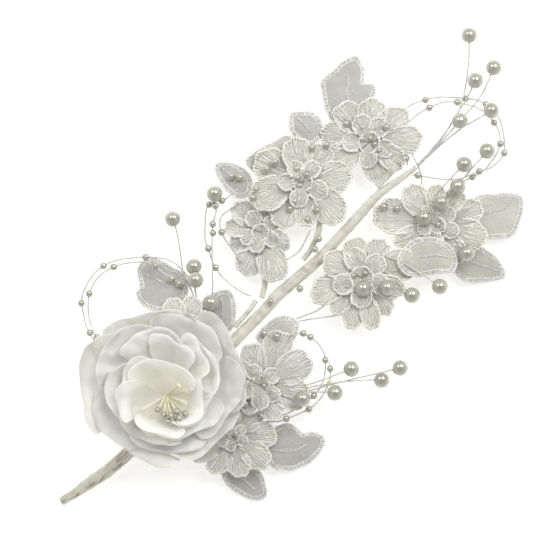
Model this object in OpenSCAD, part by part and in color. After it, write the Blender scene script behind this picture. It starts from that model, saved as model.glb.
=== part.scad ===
// Flower hair clip: a bridal spray on a sprung clip.
// A fabric rose, lace flowers and organza leaves are bound to a taped wire stem, with wired
// pearls and beaded wire loops between them. Origin: bottom centre of the whole spray.
// +X runs along the stem from its tail to its tip, +Z out of the flower's face.

/* [Rose] */
// Centre of the rose along the stem
rose_x = -56.5; // [-58:0.5:-55]
// Centre of the rose across the stem
rose_y = 6; // [4:0.5:8]
// Radius of the outer petals
rose_r = 31; // [29:0.5:32]
// Height of the innermost petals' rims above the table
rose_top = 37; // [35:0.5:39]
// Thickness of a petal
petal_t = 0.7; // [0.5:0.1:0.9]

/* [Lace and leaves] */
// Thickness of an embroidered lace flower
lace_t = 0.8; // [0.6:0.1:0.9]
// Thickness of an organza leaf with its stitched rim
leaf_t = 0.6; // [0.4:0.1:0.7]

/* [Pearls and wire] */
// Radius of a large pearl
pearl_r = 3; // [2.8:0.05:3.05]
// Radius of a seed pearl
seed_r = 1.35; // [1.1:0.05:1.4]
// Radius of the hole drilled in a large pearl
pearl_hole_r = 0.5; // [0.4:0.05:0.6]
// Radius of the hole through a seed pearl
seed_hole_r = 0.55; // [0.45:0.05:0.6]
// Radius of the bead wire
wire_r = 0.2; // [0.15:0.05:0.25]

/* [Clip] */
// Width of the clip's top plate
clip_w = 9; // [8:0.5:10]
// Height of the hinge pin above the table
hinge_z = 5; // [4.8:0.1:5.2]
// Radius of the hinge pin
pin_r = 0.8; // [0.7:0.05:0.9]
// Radial clearance of the lower jaw on the pin
pin_clearance = 0.05; // [0.02:0.01:0.08]
// Radius of the felt pad between the clip and the rose
felt_r = 16; // [15:0.5:17]

/* [Hidden] */
$fn = 32;

satin = [0.93, 0.93, 0.92];
cream = [0.9, 0.88, 0.8];
lace_white = [0.86, 0.86, 0.83];
organza = [0.8, 0.8, 0.79];
tape_cream = [0.85, 0.84, 0.76];
steel = [0.75, 0.76, 0.78];
pearl_ivory = [0.87, 0.84, 0.77];
wire_silver = [0.8, 0.8, 0.8];

// ---- Smooth lines and tubes -------------------------------------------------------------
ring_step = 2.5;

function bend(p, i, t) =
    let (a = p[max(i - 1, 0)], b = p[i], c = p[i + 1], d = p[min(i + 2, len(p) - 1)])
    0.5 * (2 * b + (c - a) * t + (2 * a - 5 * b + 4 * c - d) * t * t
           + (3 * b - a - 3 * c + d) * t * t * t);

function smooth(p, step = ring_step) = [
    for (i = [0 : len(p) - 2])
        let (n = max(1, ceil(norm(p[i + 1] - p[i]) / step)))
        for (j = [0 : n - 1]) bend(p, i, j / n),
    p[len(p) - 1]
];

function smooth_closed(p, per_side = 3) =
    let (n = len(p))
    [for (i = [0 : n - 1], j = [0 : per_side - 1])
        bend([p[(i + n - 1) % n], p[i], p[(i + 1) % n], p[(i + 2) % n]], 1, j / per_side)];

function unit(v) = v / norm(v);
function xyz(p) = [p[0], p[1], p[2]];

// One ring of a tube round the point i of a line, which never runs along the pole
function ring(line, i, r, sides, pole = [0, 0, 1]) =
    let (ahead = unit(xyz(line[min(i + 1, len(line) - 1)]) - xyz(line[max(i - 1, 0)])),
         side = unit(cross(ahead, pole)),
         up = cross(side, ahead))
    [for (k = [0 : sides - 1])
        xyz(line[i]) + r * (cos(360 * k / sides) * side + sin(360 * k / sides) * up)];

function wall(n, sides, first = 0) = [
    for (i = [0 : n - 2], k = [0 : sides - 1])
        let (a = first + i * sides + k, b = first + i * sides + (k + 1) % sides)
        [a, b, b + sides, a + sides]
];

// Solid tube along a line; a line of four numbers a point carries its own radius
module tube(line, r = wire_r, sides = 6, pole = [0, 0, 1]) {
    n = len(line);
    function radius(i) = len(line[i]) > 3 ? line[i][3] : r;
    points = [for (i = [0 : n - 1]) each ring(line, i, radius(i), sides, pole)];
    last = (n - 1) * sides;
    polyhedron(points, concat([[for (k = [sides - 1 : -1 : 0]) k]], wall(n, sides),
                              [[for (k = [0 : sides - 1]) last + k]]));
}

// Hollow tube along a line that carries its outer radius
module sleeve(line, inner_r, sides) {
    n = len(line);
    outer = [for (i = [0 : n - 1]) each ring(line, i, line[i][3], sides)];
    inner = [for (i = [0 : n - 1]) each ring(line, i, inner_r, sides)];
    shift = n * sides;
    last = (n - 1) * sides;
    lining = [for (f = wall(n, sides, shift)) [f[3], f[2], f[1], f[0]]];
    ends = [for (k = [0 : sides - 1])
        let (m = (k + 1) % sides)
        each [[k, shift + k, shift + m, m],
              [last + m, last + shift + m, last + shift + k, last + k]]];
    polyhedron(concat(outer, inner), concat(wall(n, sides), lining, ends));
}

// Bead drilled along a direction; depth -1 drills right through
module bead(at, along, r, hole_r, blind = false) {
    v = unit(along);
    translate(at)
        rotate([0, acos(v[2]), atan2(v[1], v[0])])
            difference() {
                sphere(r);
                translate([0, 0, -r - 1]) cylinder(h = blind ? r + 1.5 : 2 * r + 2, r = hole_r);
            }
}

// ---- Clip: top plate, sprung lower jaw, pin and spring ------------------------------------
clip_nose_x = -78;
clip_tail_x = -33;
hinge_x = -44;
plate_z = 7.4;
plate_t = 0.8;
ear_r = 2.2;
ear_t = 0.6;
jaw_w = 7.2;
jaw_t = 0.6;
ear_gap = 0.3;
// Middle of the lower jaw's strip, nose to tail, as [x, z]
JAW_LINE = [[-78, 6.6], [-76, 6.5], [-70, 5.6], [-60, 4.3], [-50, 3.1], [-44, 2.6],
            [-39, 2.1], [-33, 0.6]];
coil_r = 1.5;
coil_half_w = 2.4;
coil_turns = 4.5;
spring_wire_r = 0.25;

function left_of(p, i) =
    let (d = unit(p[min(i + 1, len(p) - 1)] - p[max(i - 1, 0)])) [-d[1], d[0]];

// Outline of a strip of even thickness along a flat line
function strip(p, t) = concat(
    [for (i = [0 : len(p) - 1]) p[i] + t / 2 * left_of(p, i)],
    [for (i = [len(p) - 1 : -1 : 0]) p[i] - t / 2 * left_of(p, i)]);

module across_clip(w) { rotate([90, 0, 0]) linear_extrude(w, center = true) children(); }

// A pair of ears, with the inner faces half_gap each side of the clip's middle
module ears(half_gap, top_z, hole_r) {
    for (side = [-1, 1])
        translate([0, side * (half_gap + ear_t / 2), 0])
            across_clip(ear_t)
                difference() {
                    union() {
                        translate([hinge_x, hinge_z]) circle(ear_r);
                        translate([hinge_x - ear_r, min(hinge_z, top_z)])
                            square([2 * ear_r, abs(top_z - hinge_z)]);
                    }
                    translate([hinge_x, hinge_z]) circle(hole_r);
                }
}

module clip_top_plate() {
    color(steel) {
        translate([clip_nose_x, -clip_w / 2, plate_z])
            cube([clip_tail_x - clip_nose_x, clip_w, plate_t]);
        ears(clip_w / 2 - ear_t, plate_z, pin_r);
    }
}

module clip_lower_jaw() {
    color(steel) {
        across_clip(jaw_w) polygon(strip(smooth(JAW_LINE, 3), jaw_t));
        ears(clip_w / 2 - 2 * ear_t - ear_gap, 2.6, pin_r + pin_clearance);
    }
}

module clip_hinge_pin() {
    color(steel)
        translate([hinge_x, 0, hinge_z])
            rotate([90, 0, 0]) {
                cylinder(h = clip_w + 0.2, r = pin_r, center = true);
                for (side = [0, 1]) mirror([0, 0, side])
                    translate([0, 0, clip_w / 2 + 0.05]) cylinder(h = 0.5, r = pin_r + 0.4);
            }
}

// Coil round the pin, with one leg under the plate and one on the jaw's tail
module clip_spring() {
    coil = [for (a = [0 : 30 : 360 * coil_turns])
        [hinge_x - coil_r * sin(a), coil_half_w * (1 - a / 180 / coil_turns),
         hinge_z + coil_r * cos(a)]];
    upper_leg = [[-36, coil_half_w, plate_z - 0.35], [-41.5, coil_half_w, hinge_z + 1.75]];
    lower_leg = [[-41.5, -coil_half_w, hinge_z - 1.8], [-36, -coil_half_w, 2.3]];
    color(steel) tube(concat(upper_leg, coil, lower_leg), spring_wire_r, pole = [0, 1, 0]);
}

module felt_pad() {
    color(satin) translate([rose_x, rose_y, plate_z + plate_t]) cylinder(h = 1.2, r = felt_r, $fn = 64);
}

// ---- Stem and branches ----------------------------------------------------------------------
core_r = 0.75;
// Route of the stem from its tail to its tip, as [x, y, z, outer radius of the tape]
STEM = [
    [-116, 3.1, 4, 1.5], [-109, 1.5, 4.8, 1.8], [-103, 0.5, 5.6, 2.2], [-95, -1, 7, 2.3],
    [-87, -1.5, 8.6, 2.3], [-79, -2, 10.4, 2.3], [-71, -2, 11.7, 2.3], [-62, -1.5, 12, 2.3],
    [-46, -1, 12, 2.3], [-38, -0.5, 11.5, 2.3], [-30, -0.2, 10.5, 2.2], [-22, 0, 9, 2.2],
    [-13, 0, 7.6, 2.2], [-4, 0.4, 7, 2.2], [6, -0.3, 7, 2.2], [15, -0.8, 7, 2.1],
    [29, -0.4, 7.2, 1.9], [40, 0.2, 7.6, 1.8], [49, 0.4, 8.2, 1.5], [57, -1, 9.2, 1.2],
    [63, -2, 9.9, 0.95], [65.5, -2.2, 10.1, 0.95]
];
UPPER_BRANCH = [[11.5, 3.2, 7.2], [15, 3.6, 7.6], [19, 4.8, 8.2], [23, 6.5, 8.6], [27, 10, 8.9],
                [30, 15, 9]];
ROSE_SIDE_BRANCH = [[-9.5, 4, 6.6], [-6, 6, 6.2], [-2, 9.5, 5.8], [3, 14, 5.7], [7, 19, 5.7]];
CUT_STUB = [[50, 3.2, 10], [55, 3, 10.2], [61, 3.2, 10.4]];
LOWER_STUB = [[-24, 3.6, 10.6], [-18, 3.8, 10], [-14, 4.3, 9.6], [-11.5, 4.8, 9.4]];

module stem_core_wire() { color(steel) tube([for (p = smooth(STEM, 5)) xyz(p)], core_r, 10); }
module stem_tape() { color(tape_cream) sleeve(smooth(STEM, 5), core_r + 0.05, 10); }
module upper_flower_branch() { color(tape_cream) tube(smooth(UPPER_BRANCH), 1.05, 8); }
module rose_side_branch() { color(tape_cream) tube(smooth(ROSE_SIDE_BRANCH), 1, 8); }
module lower_branch_stub() { color(tape_cream) tube(smooth(LOWER_STUB), 0.9, 8); }

module cut_branch_stub() {
    color(tape_cream) tube(smooth(CUT_STUB), 1.15, 8);
    for (side = [-0.5, 0.5]) color(steel)
        translate([60.8, 3.2 + side, 10.4]) rotate([0, 90, 0]) cylinder(h = 1.4, r = 0.3);
}

// ---- Rose -------------------------------------------------------------------------------------
base_z = 14.4;
// Petal cross-sections, from the heart outwards, as [radius, height]
OUTER_CURVE = [[5.5, 15.7], [13, 16.4], [21, 18.4], [27, 21.6], [rose_r, 26]];
MIDDLE_CURVE = [[5.5, 17.1], [10, 17.9], [15.5, 20.6], [19.5, 25.6], [22.5, 32.5]];
INNER_CURVE = [[5.7, 19.4], [9, 21.8], [11.4, 25.6], [12.9, 30.5], [14, rose_top]];
heart_shift = [-3.5, -2];
petal_gap = 4;

module petal(curve, count, index, first_angle) {
    turn = 360 / count;
    rotate([0, 0, first_angle + index * turn])
        rotate_extrude(angle = turn - petal_gap, $fn = 72)
            polygon(strip(smooth(curve, 4), petal_t));
}

module rose_outer_petal(i) {
    color(satin) translate([rose_x, rose_y, 0]) petal(OUTER_CURVE, 5, i - 1, 20);
}
module rose_middle_petal(i) {
    color(satin) translate([rose_x, rose_y, 0]) petal(MIDDLE_CURVE, 5, i - 1, 56);
}
module rose_inner_petal(i) {
    color(cream)
        translate([rose_x + heart_shift[0], rose_y + heart_shift[1], 0])
            petal(INNER_CURVE, 4, i - 1, 30);
}

plug_r = 3.2;
plug_at = [rose_x - 1.5, rose_y - 1];
module rose_base() {
    color(cream) {
        translate([rose_x, rose_y, base_z]) cylinder(h = 0.7, r = 9);
        translate([plug_at[0], plug_at[1], base_z]) cylinder(h = 4.8, r = plug_r);
    }
}

stamen_r = 0.25;
anther_r = 0.85;
STAMEN_ROOT = [plug_at[0] - 1, plug_at[1] - 1.5, base_z + 5.1];
// Ends of the stamens; the first four are bare threads, the rest carry a pearl head
BARE_STAMENS = [[-52.5, 3, 31], [-52, -0.5, 30], [-68.5, 6, 31], [-55.5, -3.5, 29]];
HEADED_STAMENS = [[-64.5, 2, 29], [-64.3, -0.8, 28], [-62.5, -2.8, 30], [-60, -3.2, 29],
                  [-61, -5.5, 30], [-64.8, -3.6, 29.5], [-63, -6, 28], [-58.4, -6, 29]];

module rose_stamens() {
    color(cream) {
        for (tip = concat(BARE_STAMENS, HEADED_STAMENS))
            tube([STAMEN_ROOT, tip], stamen_r);
        for (tip = HEADED_STAMENS) translate(tip) sphere(anther_r, $fn = 16);
    }
}

// ---- Lace flowers --------------------------------------------------------------------------------
lace_core_r = 6;
petal_half = 33;
// [centre, petals as [direction, length] and for a narrow petal its half angle]
LACE = [
    [[59.5, 16.5, 7.6], [[85, 18.4], [39, 16.8], [-7, 18.6], [-37, 20, 15], [-80, 12.5], [-118, 15],
                         [160, 18], [122, 18.5]]],
    [[31.5, 23.5, 10.5], [[55, 17], [107, 20], [155, 20.5], [-165, 19], [-90, 20.5],
                          [-128, 16.5], [-35, 18.5], [10, 16.5]]],
    [[7.5, 21.5, 7.6], [[88, 14.6], [125, 13.5], [159, 12.5], [-155, 17], [-115, 19.5],
                        [-73, 12], [20, 11]]],
    [[55.5, -23, 8], [[124.5, 24], [81, 18.5], [47, 15.5], [10, 16.5], [-20, 18.7], [-60, 19.3],
                      [-105, 16.5], [-150, 15], [159, 17]]],
    [[22, -17, 10.5], [[159, 20], [105, 16], [-175, 17], [-147, 19.5], [-122, 19.6], [-98, 17],
                       [-62, 16.5], [56, 15.5], [14, 16.5], [-28, 22]]],
    [[-32.5, -18.5, 10], [[-13.5, 21.3], [-60, 18.8], [59, 16], [20, 22, 23], [-165, 12],
                          [-110, 11], [150, 12], [100, 13]]],
    [[-53.5, -25, 7], [[-42, 16.4], [-85, 17], [-121, 15.3], [-169, 15.7], [164, 17],
                       [105, 14], [45, 14], [0, 14]]],
    [[-38, 15.7, 10], [[70, 13], [30, 13], [120, 13], [-20, 12]]]
];

function petal_reach(angle, p) =
    let (off = abs((angle - p[0] + 540) % 360 - 180), half = len(p) > 2 ? p[2] : petal_half)
    off >= half ? 0 : p[1] * pow(cos(off * 90 / half), 0.35);

module lace_flower(i) {
    at = LACE[i - 1][0];
    petals = LACE[i - 1][1];
    color(lace_white)
        translate(at)
            linear_extrude(lace_t)
                polygon([for (a = [0 : 5 : 355])
                    let (r = max(lace_core_r, max([for (p = petals) petal_reach(a, p)])))
                    [r * cos(a), r * sin(a)]]);
}

// ---- Organza leaves ---------------------------------------------------------------------------------
// [hinge point where the leaf droops, heading, droop angle, outline as [x, y]]
LEAVES = [
    [[63, 26, 6.2], 73, 15, [[56, 27], [56.5, 36], [59.5, 41], [62.5, 45.5], [64.5, 46.5],
        [70, 46], [74.5, 46], [79.5, 44], [80, 42.5], [78.5, 38], [74.5, 33.5], [76.5, 31],
        [75.5, 28.5], [71, 26], [64, 23]]],
    [[45, 31, 6.6], 72, 9, [[42, 33], [41.5, 40], [45.5, 44.5], [47.5, 45], [50.5, 42.5],
        [53, 39.5], [53, 35.5], [50, 31], [45, 30]]],
    [[14, 36, 5.6], 90, 18, [[11, 36], [10, 39.5], [9.5, 43.5], [12.5, 51.5], [15, 52],
        [18, 48.5], [19.5, 45], [20, 40.5], [18, 36], [14, 34]]],
    [[31, 34, 8.3], 95, 6, [[23, 34], [21.5, 42], [23, 44.5], [28, 44], [36, 41.5], [40.5, 39.5],
        [40, 34], [31, 32]]],
    [[64, -31, 6], -20, 13.5, [[62, -26], [72.5, -25.5], [77.5, -27.5], [79, -30], [83, -32.5],
        [87, -38], [84, -42], [78, -45], [72.5, -46], [66, -40.5], [61, -36]]],
    [[55, -37, 4.6], -72, 13.5, [[61, -37], [62.5, -42.5], [63.5, -48.5], [61.5, -55],
        [59, -55], [52, -49.5], [48.5, -45.5], [48, -41], [50, -36], [55, -34]]],
    [[40, -27, 12], -30, 3, [[36, -21], [43, -20], [48.5, -22], [52, -26], [53.5, -30],
        [53.5, -34], [51.5, -37.5], [48, -39.5], [44, -36.5], [38, -32], [34, -27]]],
    [[-18, -8, 8.3], -35, 2, [[-21.5, -4.5], [-13, -4.3], [-9, -5.8], [-6.5, -9], [-6, -12],
        [-7.5, -13.5], [-10, -15], [-13.5, -15], [-20, -11]]],
    [[-46, -36, 5], -55, 13.4, [[-43, -33], [-36, -35.5], [-34.5, -40], [-34, -43], [-31.5, -45],
        [-29.5, -49], [-30, -51], [-33, -52.5], [-38.5, -53], [-42.5, -52], [-47, -50],
        [-49.5, -47], [-51.5, -43.5], [-50, -37]]],
    [[-61, -30, 4.7], -90, 13, [[-64.5, -30], [-67.5, -33.5], [-68, -38.5], [-67, -43.5],
        [-65, -48], [-62.5, -50], [-60, -50], [-58, -47], [-56, -43], [-56, -38], [-57, -31],
        [-60, -28]]],
    [[-33, 25, 6.3], 90, 16.5, [[-39, 26], [-43, 33], [-41.5, 39], [-39.5, 38.5], [-38.5, 40],
        [-35.5, 44.5], [-33, 46], [-29.5, 45.5], [-27, 43.5], [-25.5, 39.5], [-25, 36],
        [-23.5, 32.5], [-24.5, 28], [-28, 24], [-33, 23]]],
    [[-26, 8, 6], 20, 2, [[-31, 14], [-25.5, 19], [-19.5, 17.5], [-16.5, 15.5], [-16, 13],
        [-18, 9], [-21.5, 5.5], [-26, 3.5], [-31, 7]]]
];

module organza_leaf(i) {
    leaf = LEAVES[i - 1];
    color(organza)
        translate(leaf[0])
            rotate([0, 0, leaf[1]]) rotate([0, leaf[2], 0]) rotate([0, 0, -leaf[1]])
                translate([-leaf[0][0], -leaf[0][1], 0])
                    linear_extrude(leaf_t) polygon(smooth_closed(leaf[3]));
}

// ---- Pearl sprays: each wire runs to the middle of a half-drilled pearl --------------------------------
TOP_SPRAY = [
    [[66, -2.2, 10.6], [78.5, -1.2, 10.9], [88, 0.4, 11.2], [94.5, 3, 11.5], [100, 6.5, 11.2],
     [107, 12, 12], [111.2, 16.2, 13], [113.4, 18.4, 13.4]],
    [[66, -2.6, 10.3], [79, -2.2, 10.4], [88, -1.6, 10.6], [97.5, -1, 11.2], [103.5, 0.2, 11.6],
     [108.5, 2.3, 12], [111.5, 3.5, 12]],
    [[66, -1.8, 10.2], [78.5, -1.6, 10.7], [88.5, 0.8, 11.8], [94.5, 2, 12.4], [99.8, 3.7, 13.6],
     [103, 5, 14.5]],
    [[66, -2.5, 9.9], [77.5, -2.8, 10.6], [87.5, -4, 11.4], [96, -6.2, 12.8], [99.5, -7, 13.5]],
    [[66, -2, 9.8], [76, -2.2, 11.3], [84.5, -1.8, 12.8], [88.5, -1.5, 14]]
];
SIDE_SPRAY = [
    [[57, -16, 9.2], [64, -16.2, 9.6], [69, -17, 9.9], [75, -17.5, 10.6], [80.5, -17, 11.4],
     [85, -16.8, 12], [88, -16.5, 12]],
    [[57.5, -14.6, 9.2], [64.5, -14.4, 10], [71.5, -14.2, 11], [75.5, -14, 11.7],
     [78.5, -14, 12]],
    [[58, -17.4, 9.2], [64, -17.8, 9.9], [68, -18, 12], [71, -18, 13.6]],
    [[55.5, -20.5, 9.2], [58, -19.5, 10.4], [60.4, -18.6, 12], [62.5, -18, 13.6]],
    [[55.5, -22, 9.2], [54.8, -20.5, 10], [54, -17.5, 12.4]],
    [[57.6, -25, 9.2], [57, -30, 10], [56.2, -34.5, 11.4], [56, -38, 12.2]],
    [[22.6, -13.4, 11.6], [21.8, -16.2, 12], [20.6, -18.2, 13], [19.5, -20, 14.6]],
    [[27, -14.5, 11.6], [26.8, -19, 12], [26.3, -23, 13.2], [26, -26, 14.6]],
    [[29.5, -14.5, 11.6], [30, -22, 12], [30.3, -30, 13], [30.5, -34.5, 14.7]],
    [[32, -14, 11.6], [36, -22, 13.2], [38.5, -31, 13.8], [39.6, -36, 14.2], [40, -39.5, 14.7]]
];
LOWER_SPRAY = [
    [[-24, -29, 9.1], [-19.5, -31.2, 9.5], [-14, -33.8, 11], [-8, -36.4, 11.8],
     [-4.5, -38, 12]],
    [[-25, -30.6, 9.1], [-19.5, -33.8, 9.5], [-11, -38.5, 11.2], [-3, -43.4, 12.4],
     [5.4, -48.6, 12.6], [8.5, -50.5, 12.4]],
    [[-24.5, -29.8, 9.1], [-19.5, -32.5, 9.6], [-13, -37, 12.4], [-6, -42.6, 12],
     [-1.6, -46.7, 10.6], [0.5, -49, 9.8]],
    [[-26, -31, 9.1], [-22, -33, 9.7], [-18, -36.6, 11.4], [-15, -40, 12.8]],
    [[-30, -26, 11.2], [-28.2, -29, 12], [-26.6, -31, 13.2], [-25, -33, 14.4]]
];
// Two bare stalk wires that tie a lace flower back to the stem
STALK_WIRES = [
    [[-12, -8, 7.4], [-8.5, -9.6, 7.4], [-6, -10.6, 7.4], [-2.5, -12, 8.8], [1.5, -13.8, 9.8],
     [6, -14.5, 9.9]],
    [[-12, -9.4, 7.4], [-8, -11.2, 7.4], [-5.4, -12.2, 7.5], [0, -16, 9.2], [6, -20.5, 9.9],
     [9, -22, 9.9]]
];
LEFT_SPRAY = [
    [[-29, 18.5, 8.2], [-25.8, 24.5, 8.6], [-23.8, 30.5, 9.1], [-19, 37, 9.8],
     [-15, 42.5, 10.4], [-13, 45.8, 10.9], [-12, 48, 11.2]],
    [[-28.5, 19, 9], [-26, 21.8, 10], [-24.2, 23.8, 11.2], [-22, 26, 12.4]],
    [[-28, 18.6, 7.6], [-25, 23.5, 7.5], [-21.4, 27.6, 7.8], [-19, 30, 8.5]]
];

module spray_wires(routes) { for (route = routes) tube(smooth(route)); }

module spray_pearls(routes) {
    for (route = routes) {
        last = len(route) - 1;
        bead(route[last], route[last] - route[last - 1], pearl_r, pearl_hole_r, blind = true);
    }
}

// ---- Beaded loops: hand-laid double wires with seed pearls threaded on them -----------------------------
// Each strand is [route, indices of the route's points that carry a seed pearl]
TOP_LOOP = [
    [[[74, 16.2, 6.9], [78.4, 15.9, 7.1], [81.7, 15, 8.6], [85.5, 13, 9.4], [90, 10, 9.5],
      [93.8, 6, 9.5], [96.4, 2.8, 9.5], [99, -0.5, 9.5], [100.2, -4, 9.5], [100.5, -8.5, 9.5],
      [99.5, -12.5, 9.5], [97, -16.5, 9.5], [94.5, -19.5, 9.5], [92.3, -21.7, 9.5],
      [89, -22.4, 9.5], [84.5, -21.8, 9.5], [80.9, -19.9, 9.5], [76, -17.8, 9.4],
      [72.5, -15.7, 9.4], [68.5, -11.5, 9.2], [65.7, -7.6, 8.8], [63.8, -4.9, 8.5],
      [62.6, -3.4, 7.6]], [3, 6, 8, 13, 16, 21]],
    [[[74.5, 11.5, 6.9], [78.4, 11.4, 7.2], [81.5, 10.9, 8.6], [84.5, 9.9, 9.4], [88.5, 8.3, 9.5],
      [91.2, 6.4, 9.5], [93.2, 4, 9.5], [95, 1, 9.5], [97, -2.5, 9.5], [98, -7, 9.5],
      [97.5, -11, 9.5], [96.8, -14, 9.5], [95.4, -16.4, 9.5], [93.6, -18.2, 9.5],
      [90.5, -19.7, 9.5], [86.5, -20.6, 8.8], [82.2, -20.9, 7.6], [77.8, -19.6, 7.2],
      [74.5, -18.4, 7.4], [70.5, -17.6, 7.4]], [3, 6, 10, 13, 17]],
    [[[71, 9.5, 6.8], [69.5, 8, 6.9], [67.3, 5.2, 8], [65.2, 2.6, 8.7], [63.8, 0.6, 8]], [3]],
    [[[71.5, 6, 6.8], [69, 4, 6.9], [67.4, 0.5, 7.6], [66.3, -2.4, 7.6],
      [65.2, -5.2, 7.2], [63.6, -7.2, 7.3], [60.5, -9.4, 7.3]], []]
];
LEFT_LOOP = [
    [[[13, 38.8, 9.4], [10.5, 39.2, 9.6], [8.2, 39.2, 9.8], [5.6, 39.9, 9.9], [3.6, 41.7, 9.5],
      [1.3, 42.3, 9.3], [-1.2, 41.4, 9.1], [-4.2, 38.8, 9], [-7, 36.2, 9], [-9.3, 33.7, 9],
      [-10.5, 31, 9], [-11.5, 29, 8.9], [-12.8, 26.5, 8.8], [-13.6, 24, 8.8],
      [-14.2, 20, 8.7], [-13.8, 14.5, 8.7], [-12.9, 10, 8.8], [-11.8, 7.4, 9]], [3, 5, 10, 13]],
    [[[9, 35, 9], [6.5, 35.4, 9.2], [3, 36, 9.4], [0.4, 35.6, 9.4], [-1.4, 34, 9.4],
      [-2.7, 31.7, 9.4], [-3.6, 29, 9.3], [-4.3, 25, 9.2], [-5, 21, 9.2], [-5.4, 18.5, 9.2]],
     [5]],
    [[[2.7, 42, 11.6], [2.6, 40.2, 11.4], [1.4, 38.6, 10.8], [-0.6, 37.4, 10.2],
      [-2.9, 36.2, 9.8], [-5.2, 33.8, 9.6], [-8, 31.4, 9.8], [-11.8, 27.4, 10.2],
      [-15.6, 23.6, 10.2], [-19.2, 19.8, 10.2], [-21.6, 17.8, 10.2], [-24, 16, 10.2]],
     [1, 4, 5]],
    [[[21, 9, 9.7], [16.5, 7.4, 9.5], [12.5, 6.4, 9.2], [9, 7, 9], [6, 8, 9]], []]
];
ROSE_LOOP = [
    [[[-23.6, 26, 7.6], [-23.2, 29.5, 7.6], [-22.9, 33.5, 7.7], [-23.5, 37.5, 7.8],
      [-25.7, 41.4, 7.9], [-29.2, 45.2, 8], [-33.5, 49, 8], [-38, 52.2, 8], [-42.6, 54, 8],
      [-47.4, 54.4, 8], [-52, 53.4, 8], [-55.4, 52, 8], [-58.2, 50, 8], [-60.2, 47, 8],
      [-62.4, 43.8, 8], [-63.8, 40, 8], [-65, 36, 8], [-65, 31, 8], [-62.5, 26, 8]],
     [5, 8, 12, 15]],
    [[[-27.6, 27, 7.4], [-27.4, 29.4, 7.4], [-28, 32.6, 7.6], [-28.8, 36.4, 7.8],
      [-29, 40.4, 7.9], [-31, 44.4, 8], [-34, 47.2, 8], [-37.2, 49.6, 8], [-40.2, 51, 8],
      [-45, 52.4, 8], [-49.4, 52, 8], [-53.6, 50.4, 8], [-57, 47.6, 8], [-59.8, 44.4, 8],
      [-61.8, 40.6, 8], [-63, 37, 8], [-63.2, 33, 8], [-61.5, 28, 8]], [1, 2, 4, 8, 11, 15]]
];
LOWER_LOOP = [
    [[[-12, -13.2, 11.6], [-9.8, -14.4, 11.2], [-7.8, -16.2, 10.6], [-6.9, -19.1, 10],
      [-6.5, -22, 9.6], [-6.9, -25, 9.4], [-7.6, -27.2, 9.3], [-9, -29, 9.3], [-11.6, -31.6, 7.9],
      [-14.3, -33.6, 8.2], [-17.4, -34.8, 9.1], [-21.4, -35.4, 9], [-25.5, -35, 9],
      [-29.5, -34.2, 9.1], [-33, -33, 9.2], [-36, -31.2, 9.2], [-40.5, -27.8, 9.2],
      [-44, -24, 9.2]], [2, 3, 7, 11, 15]],
    [[[-8.4, -30.6, 9.3], [-10, -32.6, 9.3], [-12, -34.6, 9.3], [-14, -36, 9.2],
      [-16.6, -37, 8.2], [-20, -37.8, 8.2], [-23, -38, 8.6], [-26.2, -37.6, 9],
      [-30.5, -36, 9.1], [-34.6, -34.2, 9],
      [-37.5, -32.8, 8.5], [-42.6, -27.8, 8.4]], [1, 7, 9]]
];

module loop_wires(strands) { for (strand = strands) tube(smooth(strand[0])); }

module loop_seeds(strands) {
    for (strand = strands, i = strand[1]) {
        route = strand[0];
        bead(route[i], route[i + 1] - route[i - 1], seed_r, seed_hole_r);
    }
}

// Seed pearls sewn to the lace, the leaves and the stem
centre_seed_r = 1.2;
SEWN_SEEDS = [
    [25.5, 36.5, 12.8], [29.5, 36, 12.8], [17.5, 34, 12.8], [14.5, 32.5, 12.8],
    [33.5, 28.6, 12.8], [34.6, 24.4, 12.8], [31.4, 26, 12.8], [29.8, 23.4, 12.8],
    [24.4, 20.7, 12.8], [21.3, 19.9, 12.8], [28, 12.5, 12.8], [23, 12.5, 12.8],
    [43, 30, 12.8], [47.5, 27, 12.8], [58.5, 27.5, 9.9], [61.5, 22.5, 9.9], [68, 16, 9.9],
    [21, 4.5, 11.2], [17.3, 2.8, 10.6], [3, -3.7, 9.2], [-8, 0.6, 10.8], [-18, -6, 10.6],
    [-15.5, -10, 12.3], [46.5, -4.2, 10.3], [49.5, -8, 10.3], [14.5, 44, 5.8],
    [16.5, 41.4, 6.4]
];
CENTRE_SEEDS = [
    [58.6, 19.2, 9.7], [61, 17.4, 9.7], [60.6, 14.6, 9.7], [60, 11.8, 9.7],
    [56, -23, 10.1], [55.2, -26.2, 10.1], [20.4, -14.2, 12.6], [16, -15.6, 12.6],
    [24.2, -16.6, 12.6], [-38.5, -19, 12.1], [-35.4, -20.4, 12.1], [-31.8, -19.6, 12.1],
    [-29.4, -17.4, 12.1], [-41.2, -19.6, 12.1], [-54.5, -24, 9.1], [-52, -25, 9.1],
    [-53.5, -27.2, 9.1]
];

module seed_pearls() {
    color(pearl_ivory) {
        for (loop = [TOP_LOOP, LEFT_LOOP, ROSE_LOOP, LOWER_LOOP]) loop_seeds(loop);
        for (at = SEWN_SEEDS) bead(at, [1, 0, 0], seed_r, seed_hole_r);
        for (at = CENTRE_SEEDS) bead(at, [1, 0, 0], centre_seed_r, seed_hole_r);
    }
}

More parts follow.
